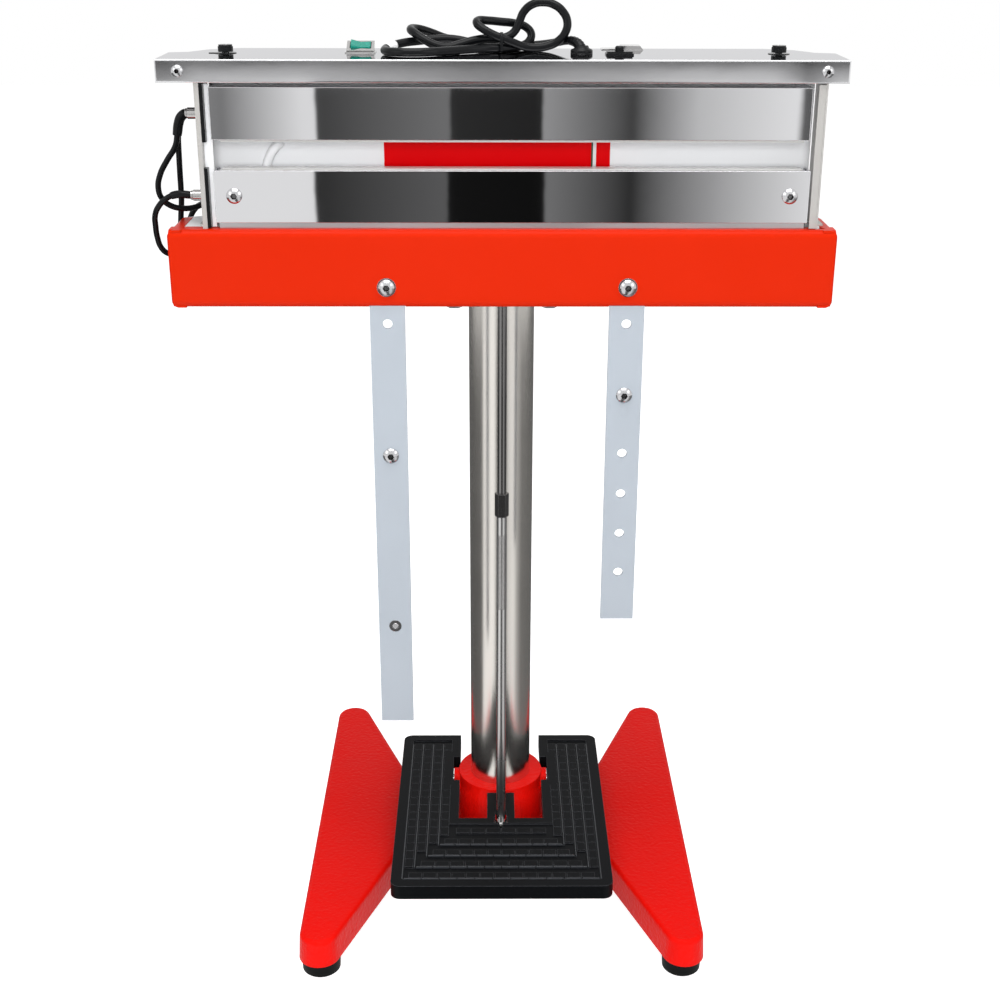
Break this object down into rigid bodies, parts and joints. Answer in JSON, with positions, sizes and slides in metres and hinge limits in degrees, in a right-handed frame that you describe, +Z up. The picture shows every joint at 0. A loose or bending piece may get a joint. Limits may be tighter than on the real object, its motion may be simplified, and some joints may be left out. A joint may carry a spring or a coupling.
{
  "type": "foot pedal sealer",
  "caption": "Floor-standing impulse heat sealer: a foot pedal pulls a rod that closes the upper jaw on the lower one, with a polished head, a red cast base and a steel column.",
  "frame": {"origin": "on the floor under the axis of the column", "axes": "+X to the machine's right as seen by its user, +Y to the back, +Z up"},
  "size_m": [0.581, 0.4384, 0.858],
  "materials": {
    "red_paint": "gloss",
    "orange_paint": "gloss",
    "black_paint": "satin",
    "black_rubber": "matte",
    "black_plastic": "matte",
    "green_plastic": "gloss",
    "polished_steel": "polished",
    "tube_steel": "polished",
    "zinc_steel": "satin",
    "grey_plate": "satin",
    "white_sheet": "satin",
    "bar_steel": "satin",
    "jaw_aluminium": "satin",
    "brass": "satin",
    "seal_tape": "satin",
    "board_green": "satin",
    "core_steel": "satin"
  },
  "bodies": {
    "frame": {"base_casting": "red_paint", "foot_pads": "black_rubber", "foot_studs": "zinc_steel", "collar_set_screws": "zinc_steel", "column_tube": "tube_steel", "column_flange": "zinc_steel", "flange_bolts": "zinc_steel", "pivot_pins": "zinc_steel", "tray": "orange_paint", "chassis": "white_sheet", "deck": "white_sheet", "tray_screws": "zinc_steel", "tray_nuts": "zinc_steel", "left_bar": "bar_steel", "right_bar": "bar_steel", "bar_screws": "zinc_steel", "bar_insert": "zinc_steel", "bar_plug": "bar_steel", "left_side_plate": "grey_plate", "right_side_plate": "grey_plate", "side_insulators": "black_plastic", "housing": "white_sheet", "transformer": "core_steel", "control_board": "board_green", "top_panel": "polished_steel", "panel_screws": "zinc_steel", "panel_rear_tab": "polished_steel", "potentiometers": "zinc_steel", "lit_bezel": "polished_steel", "breaker_bezel": "black_plastic", "lower_jaw": "jaw_aluminium", "lower_cover": "polished_steel", "lower_cover_screws": "zinc_steel", "lower_seal_strip": "seal_tape", "guide_posts": "zinc_steel", "cord_glands": "polished_steel", "upper_lead_loop": "black_rubber", "upper_lead_down": "black_rubber", "lower_lead": "black_rubber", "mains_cord": "black_rubber", "mains_hank": "black_rubber", "mains_tail": "black_rubber", "mains_plug": "black_plastic"},
    "pedal": {"pedal": "black_paint"},
    "carriage": {"ball_nut": "zinc_steel", "lower_rod": "zinc_steel", "rod_coupler": "zinc_steel", "upper_rod": "zinc_steel", "rod_nuts": "zinc_steel", "crossbeam": "jaw_aluminium", "guide_bushes": "brass", "return_springs": "zinc_steel", "carrier_plate": "white_sheet", "upper_jaw": "jaw_aluminium", "upper_cover": "polished_steel", "upper_seal_strip": "seal_tape"},
    "left_knob": {"left_knob": "black_plastic"},
    "right_knob": {"right_knob": "black_plastic"},
    "lit_rocker": {"lit_rocker": "green_plastic"},
    "reset_button": {"reset_button": "black_plastic"}
  },
  "joints": [
    {"name": "carriage_slide", "type": "slide", "parent": "frame", "child": "carriage", "axis": [0, 0, -1], "range_m": [0, 0.021], "stiffness_N_per_m": 2500, "springref_m": -0.04, "deforming": ["return_springs"]},
    {"name": "pedal_hinge", "type": "hinge", "parent": "frame", "child": "pedal", "pos_m": [0, 0, 0.084], "axis": [1, 0, 0], "range_deg": [0, 13.8]},
    {"name": "left_knob_turn", "type": "hinge", "parent": "frame", "child": "left_knob", "pos_m": [-0.231, -0.042, 0.814], "axis": [0, 0, 1], "range_deg": [-150, 150]},
    {"name": "right_knob_turn", "type": "hinge", "parent": "frame", "child": "right_knob", "pos_m": [0.231, -0.042, 0.814], "axis": [0, 0, 1], "range_deg": [-150, 150]},
    {"name": "power_rocker", "type": "hinge", "parent": "frame", "child": "lit_rocker", "pos_m": [-0.119, -0.033, 0.81966], "axis": [0, 0.9063, 0.4226], "range_deg": [-14, 0]},
    {"name": "reset_press", "type": "slide", "parent": "frame", "child": "reset_button", "axis": [0, 0, -1], "range_m": [0, 0.002], "stiffness_N_per_m": 300, "springref_m": -0.002}
  ],
  "couplings": [
    {"joint": "pedal_hinge", "follows": "carriage_slide", "rad_per_m": 11.4}
  ]
}
